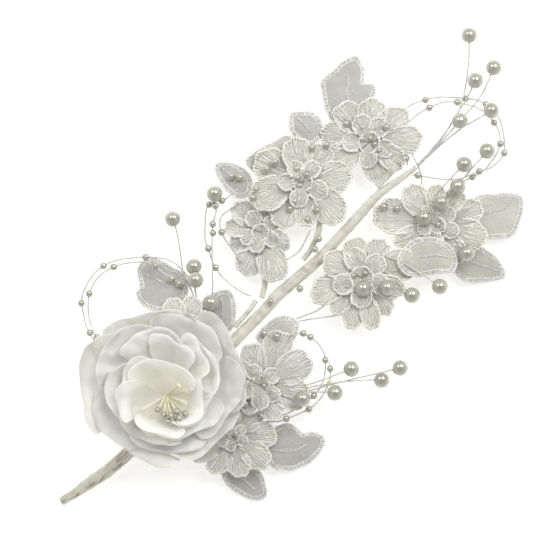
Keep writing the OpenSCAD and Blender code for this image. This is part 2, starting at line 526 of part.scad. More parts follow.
module top_spray_wires() { color(wire_silver) spray_wires(TOP_SPRAY); }
module top_spray_pearls() { color(pearl_ivory) spray_pearls(TOP_SPRAY); }
module side_spray_wires() { color(wire_silver) spray_wires(SIDE_SPRAY); }
module side_spray_pearls() { color(pearl_ivory) spray_pearls(SIDE_SPRAY); }
module lower_spray_wires() { color(wire_silver) spray_wires(concat(LOWER_SPRAY, STALK_WIRES)); }
module lower_spray_pearls() { color(pearl_ivory) spray_pearls(LOWER_SPRAY); }
module left_spray_wires() { color(wire_silver) spray_wires(LEFT_SPRAY); }
LEFT_PEARL_ROUTES = [LEFT_LOOP[2][0], [[8.6, 41.6, 12], [5.5, 43.6, 13.2]]];
module left_spray_pearls() {
    color(pearl_ivory) spray_pearls(concat(LEFT_SPRAY, LEFT_PEARL_ROUTES));
}
module top_loop_wires() { color(wire_silver) loop_wires(TOP_LOOP); }
module left_loop_wires() { color(wire_silver) loop_wires(LEFT_LOOP); }
module rose_loop_wires() { color(wire_silver) loop_wires(ROSE_LOOP); }
module lower_loop_wires() { color(wire_silver) loop_wires(LOWER_LOOP); }

clip_top_plate();
clip_lower_jaw();
clip_hinge_pin();
clip_spring();
felt_pad();
stem_core_wire();
stem_tape();
upper_flower_branch();
rose_side_branch();
cut_branch_stub();
lower_branch_stub();
rose_base();
for (i = [1 : 5]) {
    rose_outer_petal(i);
    rose_middle_petal(i);
}
for (i = [1 : 4])
    rose_inner_petal(i);
rose_stamens();
for (i = [1 : len(LACE)])
    lace_flower(i);
for (i = [1 : len(LEAVES)])
    organza_leaf(i);
top_spray_wires();
top_spray_pearls();
side_spray_wires();
side_spray_pearls();
lower_spray_wires();
lower_spray_pearls();
left_spray_wires();
left_spray_pearls();
top_loop_wires();
left_loop_wires();
rose_loop_wires();
lower_loop_wires();
seed_pearls();
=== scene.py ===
import math
import random

import bmesh
import bpy
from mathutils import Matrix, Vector, noise


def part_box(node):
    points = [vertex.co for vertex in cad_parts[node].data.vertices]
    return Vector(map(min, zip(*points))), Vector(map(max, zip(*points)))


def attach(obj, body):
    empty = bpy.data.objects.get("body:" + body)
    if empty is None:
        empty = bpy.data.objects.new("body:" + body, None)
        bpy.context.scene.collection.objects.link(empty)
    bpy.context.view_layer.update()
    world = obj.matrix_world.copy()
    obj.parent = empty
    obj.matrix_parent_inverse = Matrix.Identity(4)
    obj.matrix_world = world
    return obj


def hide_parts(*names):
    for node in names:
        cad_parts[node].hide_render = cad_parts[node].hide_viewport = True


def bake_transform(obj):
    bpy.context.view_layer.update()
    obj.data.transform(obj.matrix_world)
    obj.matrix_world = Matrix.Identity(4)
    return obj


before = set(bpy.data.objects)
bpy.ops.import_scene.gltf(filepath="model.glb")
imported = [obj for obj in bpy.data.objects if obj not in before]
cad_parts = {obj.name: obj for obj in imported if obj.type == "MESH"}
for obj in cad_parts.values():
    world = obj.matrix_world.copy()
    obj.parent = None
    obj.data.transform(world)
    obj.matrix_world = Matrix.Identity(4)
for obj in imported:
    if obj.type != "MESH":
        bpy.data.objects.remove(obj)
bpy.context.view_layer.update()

# ---- Camera ------------------------------------------------------------------------------
# A long lens straight above the spray, which lies on the table with its tail at the lower
# left and its tip at the upper right of the frame.
eye_height = 0.859
bpy.ops.object.camera_add(location=(0.0001, 0.0065, eye_height), rotation=(0, 0, math.radians(-45)))
camera = bpy.context.object
camera.data.lens = 149.9
camera.data.sensor_width = 36
camera.data.clip_start = 0.05
camera.data.clip_end = 20
bpy.context.scene.camera = camera

# ---- Table, room and softboxes ----------------------------------------------------------------
# A matt white table, lit from below like a light table. Two softboxes side by side beyond the top of the spray make the twin
# highlights on the pearls, and the room is bright all round but dim straight overhead.


class Sum:
    """A shader value that can be used in a Python sum. Each step adds a Math node."""

    def __init__(self, tree, socket):
        self.tree = tree
        self.socket = socket

    def step(self, operation, *values):
        node = self.tree.nodes.new("ShaderNodeMath")
        node.operation = operation
        for socket, value in zip(node.inputs, values):
            join(self.tree, socket, value)
        return Sum(self.tree, node.outputs[0])

    def __add__(self, other):
        return self.step("ADD", self, other)

    def __sub__(self, other):
        return self.step("SUBTRACT", self, other)

    def __rsub__(self, other):
        return self.step("SUBTRACT", other, self)

    def __mul__(self, other):
        return self.step("MULTIPLY", self, other)

    def __truediv__(self, other):
        return self.step("DIVIDE", self, other)

    def __pow__(self, other):
        return self.step("POWER", self, other)

    __radd__ = __add__
    __rmul__ = __mul__


def join(tree, socket, value):
    """Links a value made by another node to a socket, or sets the socket to a plain value."""
    if isinstance(value, Sum):
        tree.links.new(value.socket, socket)
    elif socket.type == "RGBA" and len(value) == 3:
        socket.default_value = (*value, 1)
    else:
        socket.default_value = value


class Finish:
    """A material: its shader, and the nodes that vary it over the surface."""

    def __init__(self, name, **sockets):
        self.material = bpy.data.materials.new(name)
        self.material.use_nodes = True
        self.tree = self.material.node_tree
        self.shader = self.tree.nodes["Principled BSDF"]
        self.set(**sockets)

    def set(self, **sockets):
        for name, value in sockets.items():
            join(self.tree, pick(self.shader.inputs, name), value)

    def add(self, kind, settings=None, output=0, **sockets):
        node = self.tree.nodes.new("ShaderNode" + kind)
        for name, value in (settings or {}).items():
            if name == "stops":
                for stop in range(len(value) - 2):
                    node.color_ramp.elements.new(0.5)
                for element, (place, colour) in zip(node.color_ramp.elements, value):
                    element.position = place
                    element.color = (*colour, 1)
            else:
                setattr(node, name, value)
        for name, value in sockets.items():
            join(self.tree, pick(node.inputs, name), value)
        return Sum(self.tree, node.outputs[output] if isinstance(output, int)
                   else pick(node.outputs, output))

    def places(self):
        return self.add("TexCoord", output="object")

    def noise(self, scale, detail=2.0, roughness=0.5):
        return self.add("TexNoise", vector=self.places(), scale=scale, detail=detail, roughness=roughness)

    def blend(self, factor, first, second):
        return self.add("Mix", {"data_type": "RGBA"}, output="result", factor=factor, a=first, b=second)

    def ramp(self, factor, *stops):
        return self.add("ValToRGB", {"stops": stops}, fac=factor)

    def bump(self, height, depth, strength=1.0):
        self.set(normal=self.add("Bump", height=height, distance=depth, strength=strength))


def pick(sockets, name):
    """The socket in use that has this name, written in small letters with underscores."""
    for socket in sockets:
        if socket.enabled and socket.name.lower().replace(" ", "_") == name:
            return socket
    raise KeyError(name)


def wear(piece, finish):
    """Gives a piece, or a CAD node, one material all over."""
    if piece.material_slots:
        for place in piece.material_slots:
            place.material = finish.material
    else:
        piece.data.materials.append(finish.material)


table_half = 1.6
bpy.ops.mesh.primitive_plane_add(size=2 * table_half, location=(0, 0, 0))
table = bpy.context.object
table.name = "table"
table_finish = Finish("white_table", base_color=(0.9, 0.9, 0.9), roughness=0.9,
                      specular_ior_level=0.1, emission_color=(1, 1, 1), emission_strength=0.45)
table_finish.set(roughness=table_finish.noise(40) * 0.1 + 0.85)
wear(table, table_finish)

box_size = 0.5
softboxes = {"softbox_left": ((0.067, 0.587, 0.77), 2.4), "softbox_right": ((0.587, 0.067, 0.77), 4.6)}
for name, (place, watts) in softboxes.items():
    bpy.ops.object.light_add(type="AREA", location=place)
    softbox = bpy.context.object
    softbox.name = name
    softbox.data.size = box_size
    softbox.data.energy = watts
    softbox.rotation_euler = (-Vector(place)).to_track_quat("-Z", "Y").to_euler()
    softbox.visible_camera = False

room = bpy.data.worlds.new("room")
bpy.context.scene.world = room
room.use_nodes = True
room_tree = room.node_tree
room_place = room_tree.nodes.new("ShaderNodeTexCoord")
room_parts = room_tree.nodes.new("ShaderNodeSeparateXYZ")
room_ramp = room_tree.nodes.new("ShaderNodeValToRGB")
room_tree.links.new(room_place.outputs["Generated"], room_parts.inputs[0])
room_tree.links.new(room_parts.outputs["Z"], room_ramp.inputs[0])
room_tree.links.new(room_ramp.outputs[0], room_tree.nodes["Background"].inputs[0])
room_stops = [(0.0, 1.0), (0.25, 0.95), (0.7, 0.6), (0.88, 0.25)]
for spare in range(len(room_stops) - 2):
    room_ramp.color_ramp.elements.new(0.5)
for element, (place, level) in zip(room_ramp.color_ramp.elements, room_stops):
    element.position = place
    element.color = (level, level * 0.99, level * 0.96, 1)
room_tree.nodes["Background"].inputs["Strength"].default_value = 0.85

bpy.context.scene.view_settings.view_transform = "Standard"
bpy.context.scene.cycles.transparent_max_bounces = 24

# ---- Clip ----------------------------------------------------------------------------------------
# A sprung hair clip of thin nickel-plated strip: a flat top plate with two ears, a lower jaw
# that turns on a headed pin, and a torsion spring wound on the pin. The parts keep their CAD
# shape; only the spring is wound anew, because it twists between the two jaws.
steel = Finish("brushed_nickel", metallic=1.0)
steel_streak = steel.add("Mapping", vector=steel.places(), scale=(60, 2500, 2500))
steel_grain = steel.add("TexNoise", vector=steel_streak, scale=1.0, detail=3.0)
steel_wear = steel.noise(350, 3.0)
steel.set(base_color=steel.ramp(steel_wear, (0.35, (0.42, 0.42, 0.43)), (0.65, (0.62, 0.62, 0.63))),
          roughness=steel_grain * 0.25 + 0.2)
steel.bump(steel_grain, 0.00002, 0.5)
for node in ("clip_top_plate", "clip_lower_jaw", "clip_hinge_pin"):
    wear(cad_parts[node], steel)

hinge = Vector((-0.044, 0, 0.005))
coil_radius = 0.0015
coil_half_width = 0.0024
coil_turns = 4.5
spring_wire = 0.00025


def smooth(points, step):
    """The points of a smooth line through given points, about one step apart."""
    line = []
    for i in range(len(points) - 1):
        a, b, c, d = (Vector(points[max(0, min(len(points) - 1, j))]) for j in (i - 1, i, i + 1, i + 2))
        count = max(1, math.ceil((c - b).length / step))
        for k in range(count):
            t = k / count
            line.append(0.5 * (2 * b + (c - a) * t + (2 * a - 5 * b + 4 * c - d) * t * t
                               + (3 * b - a - 3 * c + d) * t ** 3))
    line.append(Vector(points[-1]))
    return line


def threads(name, lines, radius, sides=1, closed=False):
    """Round threads or wires along lines of points. A fourth number scales the thickness."""
    data = bpy.data.curves.new(name, "CURVE")
    data.dimensions = "3D"
    data.bevel_depth = radius
    data.bevel_resolution = sides
    data.use_fill_caps = True
    for line in lines:
        spline = data.splines.new("POLY")
        spline.points.add(len(line) - 1)
        spline.use_cyclic_u = closed
        for point, place in zip(spline.points, line):
            point.co = (place[0], place[1], place[2], 1)
            point.radius = place[3] if len(place) > 3 else 1.0
    piece = bpy.data.objects.new(name, data)
    bpy.context.collection.objects.link(piece)
    bpy.ops.object.select_all(action="DESELECT")
    bpy.context.view_layer.objects.active = piece
    piece.select_set(True)
    bpy.ops.object.convert(target="MESH")
    return bpy.context.object


coil = []
for i in range(int(coil_turns * 18) + 1):
    angle = i * math.tau / 18
    coil.append(hinge + Vector((-coil_radius * math.sin(angle),
                                coil_half_width * (1 - 2 * i / (coil_turns * 18)),
                                coil_radius * math.cos(angle))))
upper_leg = [(-0.036, coil_half_width, 0.00705), (-0.0415, coil_half_width, 0.00675)]
lower_leg = [(-0.0415, -coil_half_width, 0.0032), (-0.036, -coil_half_width, 0.0023)]
spring = threads("clip_spring_wire", [upper_leg + coil + lower_leg], spring_wire, sides=2)
wear(spring, steel)
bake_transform(spring)
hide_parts("clip_spring")

# ---- Felt pad ---------------------------------------------------------------------------------------
# A disc of pressed white felt glued between the clip's plate and the rose. It was cut out by
# hand, so its edge wanders a little and its faces are fluffy.
felt = Finish("pressed_felt", roughness=0.95, sheen_weight=0.4, specular_ior_level=0.1)
felt_fluff = felt.noise(2200, 6.0, 0.7)
felt.set(base_color=felt.ramp(felt_fluff, (0.3, (0.60, 0.60, 0.58)), (0.7, (0.78, 0.78, 0.76))))
felt.bump(felt_fluff, 0.0002)


def shaped_grid(name, columns, rows, place):
    """A grid whose points are moved to place(u, t), with u and t from 0 to 1. Points that come
    together are merged, so the ends of a tube close and its seam is sewn up."""
    bpy.ops.object.select_all(action="DESELECT")
    bpy.ops.mesh.primitive_grid_add(x_subdivisions=columns, y_subdivisions=rows, size=1)
    piece = bpy.context.object
    piece.name = name
    for point in piece.data.vertices:
        point.co = place(point.co.x + 0.5, point.co.y + 0.5)
    bpy.ops.object.mode_set(mode="EDIT")
    bpy.ops.mesh.select_all(action="SELECT")
    bpy.ops.mesh.remove_doubles(threshold=0.000002)
    bpy.ops.object.mode_set(mode="OBJECT")
    bpy.ops.object.shade_smooth()
    return piece


def finish_with(piece, *modifiers):
    """Adds modifiers, each a kind and its settings, and applies them in turn."""
    bpy.ops.object.select_all(action="DESELECT")
    bpy.context.view_layer.objects.active = piece
    piece.select_set(True)
    for kind, settings in modifiers:
        modifier = piece.modifiers.new(kind.lower(), kind)
        for name, value in settings.items():
            setattr(modifier, name, value)
        bpy.ops.object.modifier_apply(modifier=modifier.name)


def face_outwards(piece):
    """Turns a closed piece's faces outwards."""
    bpy.ops.object.select_all(action="DESELECT")
    bpy.context.view_layer.objects.active = piece
    piece.select_set(True)
    bpy.ops.object.mode_set(mode="EDIT")
    bpy.ops.mesh.select_all(action="SELECT")
    bpy.ops.mesh.normals_make_consistent(inside=False)
    bpy.ops.object.mode_set(mode="OBJECT")


felt_low, felt_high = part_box("felt_pad")
felt_middle = (felt_low + felt_high) / 2
felt_half = (felt_high - felt_low) / 2


def on_felt(u, t):
    angle = u * math.tau
    wander = 1 + 0.012 * math.sin(5 * angle) + 0.008 * math.sin(11 * angle + 1)
    across = min(1.0, 1.25 * math.sin(t * math.pi)) ** 0.8
    height = -math.cos(t * math.pi)
    height = math.copysign(abs(height) ** 0.3, height)
    return felt_middle + Vector((felt_half.x * across * wander * math.cos(angle),
                                 felt_half.y * across * wander * math.sin(angle),
                                 felt_half.z * height))


pad = shaped_grid("felt_disc", 96, 14, on_felt)
face_outwards(pad)
wear(pad, felt)
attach(pad, "spray")
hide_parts("felt_pad")

# ---- Stem and branches -------------------------------------------------------------------------------
# Florist's wire wound with stretched cream crepe tape. Each turn of the tape laps the last, so
# the stem has slanting ridges, small creases and darker smears of wax where hands held it.
tape = Finish("cream_crepe_tape", roughness=0.62, sheen_weight=0.15, subsurface_weight=0.05)
tape_crepe = tape.add("Mapping", vector=tape.places(), scale=(700, 2600, 2600))
tape_fibre = tape.add("TexNoise", vector=tape_crepe, scale=1.0, detail=4.0)
tape_stain = tape.noise(170, 3.0, 0.6)
tape_base = tape.ramp(tape_stain, (0.30, (0.46, 0.44, 0.36)), (0.42, (0.70, 0.69, 0.62)),
                      (0.75, (0.82, 0.81, 0.75)))
tape_soil = tape.add("MapRange", {"interpolation_type": "SMOOTHSTEP"}, value=tape.add(
    "SeparateXYZ", output="x", vector=tape.places()), from_min=-0.075, from_max=-0.092)
tape_base = tape.blend(tape_soil * 0.6, tape_base, (0.54, 0.525, 0.45))
tape_streak = tape.add("Mapping", vector=tape.places(), scale=(130, 900, 900))
tape_streak = tape.add("TexNoise", vector=tape_streak, scale=1.0, detail=3.0)
tape_dirt = tape.add("MapRange", {"interpolation_type": "SMOOTHSTEP"}, value=tape_streak, from_min=0.52,
                     from_max=0.62)
tape_base = tape.blend(tape_dirt * (tape_soil * 0.6 + 0.25), tape_base, (0.25, 0.24, 0.18))
tape.set(base_color=tape.blend(tape_fibre * 0.25, tape_base, (0.62, 0.60, 0.50)),
         roughness=tape_stain * 0.2 + 0.5)
tape.bump(tape_fibre, 0.00012)

STEM = [
    (-0.116, 0.0031, 0.004, 0.0015), (-0.109, 0.0015, 0.0048, 0.0018),
    (-0.103, 0.0005, 0.0056, 0.0022), (-0.095, -0.001, 0.007, 0.0023),
    (-0.087, -0.0015, 0.0086, 0.0023), (-0.079, -0.002, 0.0104, 0.0023),
    (-0.071, -0.002, 0.0117, 0.0023), (-0.062, -0.0015, 0.012, 0.0023),
    (-0.046, -0.001, 0.012, 0.0023), (-0.038, -0.0005, 0.0115, 0.0023),
    (-0.030, -0.0002, 0.0105, 0.0022), (-0.022, 0.0, 0.009, 0.0022),
    (-0.013, 0.0, 0.0076, 0.0022), (-0.004, 0.0004, 0.007, 0.0022),
    (0.006, -0.0003, 0.007, 0.0022), (0.015, -0.0008, 0.007, 0.0021),
    (0.029, -0.0004, 0.0072, 0.0019), (0.040, 0.0002, 0.0076, 0.0018),
    (0.049, 0.0004, 0.0082, 0.0015), (0.057, -0.001, 0.0092, 0.0012),
    (0.063, -0.002, 0.0099, 0.00095), (0.0655, -0.0022, 0.0101, 0.00095),
]
BRANCHES = {
    "upper_flower_branch": [
        (0.0115, 0.0032, 0.0072, 0.00105), (0.015, 0.0036, 0.0076, 0.00105),
        (0.019, 0.0048, 0.0082, 0.00105), (0.023, 0.0065, 0.0086, 0.00105),
        (0.027, 0.010, 0.0089, 0.00105), (0.030, 0.015, 0.009, 0.00105)],
    "rose_side_branch": [
        (-0.0095, 0.004, 0.0066, 0.001), (-0.006, 0.006, 0.0062, 0.001),
        (-0.002, 0.0095, 0.0058, 0.001), (0.003, 0.014, 0.0057, 0.001),
        (0.007, 0.019, 0.0057, 0.001)],
    "lower_branch_stub": [
        (-0.024, 0.0036, 0.0106, 0.0009), (-0.018, 0.0038, 0.010, 0.0009),
        (-0.014, 0.0043, 0.0096, 0.0009), (-0.0115, 0.0048, 0.0094, 0.0009)],
    "cut_branch_stub": [
        (0.050, 0.0032, 0.010, 0.00115), (0.055, 0.003, 0.0102, 0.00115),
        (0.061, 0.0032, 0.0104, 0.00115)],
}
tape_lap = 0.0042
ring_gap = 0.0005


def wound_tube(name, route, seed, core=0.0):
    """A rod wound with tape along a route whose points carry its radius."""
    line = smooth([Vector(point) for point in route], ring_gap)
    rows = len(line) + 2
    chance = random.Random(seed)
    crease = [chance.uniform(0, math.tau) for k in range(6)]

    def place(u, t):
        i = min(len(line) - 1, max(0, round(t * rows) - 1))
        here = line[i]
        ahead = (line[min(i + 1, len(line) - 1)] - line[max(i - 1, 0)]).xyz.normalized()
        side = ahead.cross(Vector((0, 0, 1))).normalized()
        up = side.cross(ahead)
        if round(t * rows) in (0, rows):
            return here.xyz
        angle = u * math.tau
        turn = (i * ring_gap / tape_lap + u) % 1
        lap = 0.00013 * max(0.0, 1 - turn * 1.6) - 0.00010 * math.exp(-((turn - 1) * 14) ** 2)
        wrinkle = sum(math.sin((k + 2) * angle + i * (0.02 + 0.013 * k) + crease[k]) for k in range(6))
        radius = here.w + lap + 0.00004 * wrinkle
        return here.xyz + radius * (math.cos(angle) * side + math.sin(angle) * up)

    tube = shaped_grid(name, 28, rows, place)
    face_outwards(tube)
    return tube


stem = wound_tube("wound_stem", STEM, 1)
wear(stem, tape)
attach(stem, "spray")
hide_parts("stem_tape")
for number, (node, route) in enumerate(BRANCHES.items()):
    branch = wound_tube("wound_" + node, route, 10 + number)
    wear(branch, tape)
    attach(branch, "spray")
    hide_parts(node)
stub_ends = [[(0.0600, 0.0032 + side, 0.0104), (0.0614, 0.0032 + side, 0.0105),
              (0.0622, 0.0032 + side * 1.2, 0.0105)] for side in (-0.0005, 0.0005)]
cut_wires = threads("cut_wire_ends", stub_ends, 0.0003, sides=2)
wear(cut_wires, steel)
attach(cut_wires, "spray")

# ---- Rose -------------------------------------------------------------------------------------------------
# Layers of stiffened satin petals round a creamy heart: each was cut as a rounded fan, cupped
# with a hot ball tool, its rim rolled outwards, and sewn to a small fabric base so that one
# edge tucks under its neighbour. White outside, warming to cream in the heart. The outer rims
# are painted greyer as shade, and the satin has a faint painted glow.
rose_middle = Vector((-0.0565, 0.006, 0))
heart_middle = Vector((-0.060, 0.004, 0))


def rose_satin(name, glow, painted_glow, *tones):
    """Satin whose colour follows the distance from the rose's heart, painted greyer towards
    the rims as shade. glow is how far, in metres, light spreads through it. The emission
    strength is a painted glow: the satin emits its own tone to stand in for light from behind."""
    satin = Finish(name, roughness=0.5, sheen_weight=0.3, sheen_roughness=0.4,
                   subsurface_weight=0.75, subsurface_radius=(1.0, 1.0, 0.9),
                   subsurface_scale=glow, specular_ior_level=0.3, emission_strength=painted_glow)
    parts = satin.add("Mapping", vector=satin.places(), location=(0.060, -0.004, 0), scale=(1, 1, 0))
    away = satin.add("VectorMath", {"operation": "LENGTH"}, output="value", vector=parts)
    mottle = satin.noise(90, 3.0)
    # The tone greys towards the outer rims, which is painted shade.
    tone = satin.ramp(away * 25 + (mottle - 0.5) * 0.12, *tones)
    # The same tone feeds the emission colour, which makes a painted glow.
    satin.set(base_color=tone, emission_color=tone)
    weave = satin.add("TexNoise", vector=satin.places(), scale=5200, detail=2.0)
    crease = satin.noise(260, 4.0, 0.55)
    satin.bump(weave * 0.25 + crease, 0.00012, 0.5)
    return satin


# The grey far tones of the white satin are painted shade on the outer rims.
white_satin = rose_satin("white_petal_satin", 0.001, 0.032, (0.0, (0.82, 0.81, 0.72)),
                         (0.3, (0.84, 0.83, 0.78)), (0.5, (0.80, 0.79, 0.75)), (0.7, (0.70, 0.69, 0.66)),
                         (0.9, (0.57, 0.565, 0.535)))
cream_satin = rose_satin("cream_petal_satin", 0.003, 0.07, (0.0, (0.90, 0.88, 0.77)), (0.25, (0.90, 0.89, 0.81)),
                         (0.42, (0.88, 0.875, 0.82)), (1.0, (0.85, 0.845, 0.80)))


def on_curve(curve, t):
    """A point of a smooth curve through a few points, with t from 0 to 1."""
    place = min(max(t, 0.0), 0.99999) * (len(curve) - 1)
    i = int(place)
    a, b, c, d = (Vector(curve[max(0, min(len(curve) - 1, j))]) for j in (i - 1, i, i + 1, i + 2))
    t = place - i
    return 0.5 * (2 * b + (c - a) * t + (2 * a - 5 * b + 4 * c - d) * t * t + (3 * b - a - 3 * c + d) * t ** 3)


def rose_petal(name, middle, curve, heading, half, reach, curl, spiral, crumple, seed, finish):
    """One cupped petal. heading and half are in degrees, curl rolls the rim outwards, and
    spiral is how far one side lies outside the other."""
    chance = random.Random(seed)
    wave = [chance.uniform(0, math.tau) for k in range(4)]
    drift = Vector((chance.uniform(-5, 5), chance.uniform(-5, 5), chance.uniform(-5, 5)))

    def place(across, t):
        u = 2 * across - 1
        rounded = t * (1 - 0.19 * abs(u) ** 3 - 0.025 * math.sin(5 * u + wave[0]))
        r, z = on_curve(curve, min(rounded, 0.9))
        rim = max(0.0, (rounded - 0.8) / 0.2)
        roll = curl * (0.8 + 0.3 * math.sin(3.3 * u + wave[1]))
        r = r * (1 + (reach - 1) * t) + spiral * u * t + 0.0022 * rim * (0.5 + 0.5 * roll)
        z += -0.0008 * u * t + 0.0012 * u * u * t + 0.0012 * rim - 0.0021 * roll * rim * rim
        z += 0.0010 * t * t * math.sin(4.4 * u + wave[2])
        r += 0.0010 * t * t * math.sin(3.7 * u + wave[3])
        angle = math.radians(heading + half * u * (1 - 0.08 * t * t))
        point = middle + Vector((r * math.cos(angle), r * math.sin(angle), z))
        fold = noise.noise_vector(point * 70 + drift) + 0.5 * noise.noise_vector(point * 190 + drift)
        crease = abs(noise.noise(point * 125 - drift)) - 0.2
        return point + min(1.0, t * 1.6) * crumple * (fold + Vector((0, 0, 1.4 * crease)))

    petal = shaped_grid(name, 48, 32, place)
    finish_with(petal, ("SOLIDIFY", {"thickness": 0.0003, "offset": 0}),
                ("SUBSURF", {"levels": 1, "render_levels": 1}))
    wear(petal, finish)
    return petal


# Each layer is drawn from the heart outwards as (radius, height), with its petals as
# (heading, half angle, reach, curl).
LAYERS = {
    "outer": (rose_middle, white_satin, 0.0015, 0.0015,
              [(0.0055, 0.0160), (0.013, 0.0172), (0.021, 0.0190), (0.026, 0.0204), (0.029, 0.0213)],
              [(60, 46, 0.97, 0.6), (128, 45, 1.08, 0.8), (192, 45, 0.98, 0.5), (262, 46, 0.95, 0.7),
               (335, 48, 1.0, 0.9)]),
    "second": (rose_middle, white_satin, 0.0014, 0.0018,
               [(0.0055, 0.0170), (0.012, 0.0184), (0.018, 0.0205), (0.0225, 0.0222), (0.0254, 0.0236)],
               [(95, 42, 1.02, 0.8), (160, 42, 1.06, 0.5), (225, 42, 0.97, 0.9), (298, 45, 1.02, 0.6),
                (20, 45, 0.99, 0.8)]),
    "middle": (rose_middle, white_satin, 0.0014, 0.0022,
               [(0.0055, 0.0178), (0.010, 0.0192), (0.0145, 0.0218), (0.0178, 0.0248), (0.0204, 0.0276)],
               [(62, 42, 1.02, 1.0), (135, 42, 0.98, 0.7), (200, 43, 1.02, 0.9), (262, 42, 1.0, 0.6),
                (340, 45, 0.93, 1.2)]),
    "third": (rose_middle, cream_satin, 0.0012, 0.0026,
              [(0.0030, 0.0184), (0.0084, 0.0200), (0.0116, 0.0234), (0.0138, 0.0268), (0.0156, 0.0298)],
              [(30, 42, 1.0, 1.8), (112, 40, 1.0, 0.7), (178, 42, 1.04, 0.9), (268, 44, 0.98, 1.0),
               (358, 32, 1.10, 1.7)]),
    "inner": (heart_middle, cream_satin, 0.0007, 0.0016,
              [(0.0008, 0.0194), (0.0062, 0.0208), (0.0094, 0.0250), (0.0116, 0.0298), (0.0131, 0.0342)],
              [(38, 76, 1.0, 0.4), (135, 40, 1.10, 2.0), (215, 48, 1.0, 0.7), (300, 48, 1.06, 0.9)]),
}
for layer, (middle, satin, crumple, spiral, curve, petals) in LAYERS.items():
    for number, (heading, half, reach, curl) in enumerate(petals, 1):
        petal = rose_petal(f"satin_{layer}_petal_{number}", middle, curve, heading, half, reach, curl,
                           spiral, crumple, seed=len(layer) * 10 + number, finish=satin)
        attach(petal, "spray")
        if f"rose_{layer}_petal_{number}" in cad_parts:
            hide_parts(f"rose_{layer}_petal_{number}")
        far = curve[-1][0] * reach + 0.002
        length = round(far - 0.004 + (curve[-1][1] - curve[0][1]) * 0.45, 4)
        width = round(2 * far * math.radians(half) * 0.97, 4)
        round(width * length * 0.6, 7)

# The base that the petals are sewn to, with a crumpled fabric heart in the middle
base_low, base_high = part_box("rose_base")


def on_base(u, t):
    angle = u * math.tau
    profile = on_curve([(0.0, base_low.z), (0.0088, base_low.z), (0.0092, base_low.z + 0.0004),
                        (0.0080, base_low.z + 0.0012), (0.0050, base_low.z + 0.0024),
                        (0.0034, base_low.z + 0.0042), (0.0018, base_high.z), (0.0, base_high.z)], t)
    fold = 1 + 0.05 * math.sin(7 * angle + 60 * t) * min(1.0, 4 * t * (1 - t))
    shift = Vector((-0.0015, -0.001, 0)) * min(1.0, max(0.0, t * 2 - 0.6))
    return rose_middle + shift + Vector((profile.x * fold * math.cos(angle),
                                         profile.x * fold * math.sin(angle), profile.y))


base = shaped_grid("rose_heart_base", 48, 24, on_base)
face_outwards(base)
wear(base, cream_satin)
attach(base, "spray")
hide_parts("rose_base")

# ---- Stamens ---------------------------------------------------------------------------------------------
# Waxed threads that fan out of the heart. Some end bare and thickened, the others carry a
# dipped pearl-coloured head, and they crowd the lower side of the heart.
root = Vector((-0.059, 0.0035, 0.0195))
BARE_ENDS = [(-0.0525, 0.003, 0.031), (-0.052, -0.0005, 0.030), (-0.0685, 0.006, 0.031),
             (-0.0555, -0.0035, 0.029)]
HEADED_ENDS = [(-0.0645, 0.002, 0.029), (-0.0643, -0.0008, 0.028), (-0.0625, -0.0028, 0.030),
               (-0.060, -0.0032, 0.029), (-0.061, -0.0055, 0.030), (-0.0648, -0.0036, 0.0295),
               (-0.063, -0.006, 0.028), (-0.0584, -0.006, 0.029)]
stamen_wax = Finish("waxed_stamen", roughness=0.35, coat_weight=0.3)
stamen_wax.set(base_color=stamen_wax.ramp(stamen_wax.noise(500), (0.3, (0.78, 0.76, 0.52)),
                                          (0.7, (0.90, 0.89, 0.76))))
stamen_lines = []
for place in BARE_ENDS:
    tip = Vector(place)
    bow = (root + tip) / 2 + Vector((0, 0, 0.0015))
    line = smooth([root, bow, tip], 0.001)
    for i, point in enumerate(line):
        share = i / (len(line) - 1)
        line[i] = (*point, 0.9 + 1.3 * max(0.0, share - 0.6) * (1.35 - share) * 4)
    stamen_lines.append(line)
for place in HEADED_ENDS:
    tip = Vector(place)
    bow = (root + tip) / 2 + Vector((0, 0, 0.001))
    stamen_lines.append([(*point, 0.85) for point in smooth([root, bow, tip], 0.001)])
stamens = threads("stamen_threads", stamen_lines, 0.00048, sides=2)
wear(stamens, stamen_wax)
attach(stamens, "spray")
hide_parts("rose_stamens")

pearl = Finish("ivory_pearl", roughness=0.28, coat_weight=0.9, coat_roughness=0.04, metallic=0.4,
               specular_ior_level=0.4)
pearl_cloud = pearl.noise(260, 3.0)
pearl.set(base_color=pearl.ramp(pearl_cloud, (0.3, (0.44, 0.43, 0.36)), (0.7, (0.53, 0.52, 0.45))),
          roughness=pearl_cloud * 0.1 + 0.14)

head_parts = []
for number, place in enumerate(HEADED_ENDS):
    bpy.ops.object.select_all(action="DESELECT")
    bpy.ops.mesh.primitive_uv_sphere_add(segments=16, ring_count=10, radius=0.0012)
    head = bpy.context.object
    away = (Vector(place) - root).normalized()
    for point in head.data.vertices:
        point.co += away * 0.25 * point.co.dot(away)
        point.co += Vector(place)
    bpy.ops.object.shade_smooth()
    head_parts.append(head)
for head in head_parts:
    head.select_set(True)
bpy.context.view_layer.objects.active = head_parts[0]
bpy.ops.object.join()
heads = bpy.context.object
heads.name = "stamen_heads"
wear(heads, pearl)
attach(heads, "spray")

# ---- Lace flowers --------------------------------------------------------------------------------------------
# Machine-embroidered flowers: every petal is sheer organza edged with a raised cord of satin
# stitch and combed with long looped stitches that run in from the rim, round a corded ring
# in the middle. They were cut out, starched and slightly crumpled, and the petals overlap.


def lace_finish(name, dark, light):
    lace = Finish(name, roughness=0.45, sheen_weight=0.35, specular_ior_level=0.5)
    fibre = lace.noise(1400, 3.0)
    patch = lace.noise(160, 2.0)
    lace.set(base_color=lace.ramp(fibre * 0.6 + patch * 0.4, (0.35, dark), (0.62, light)),
             roughness=fibre * 0.3 + 0.3)
    lace.bump(fibre, 0.00008, 0.6)
    return lace


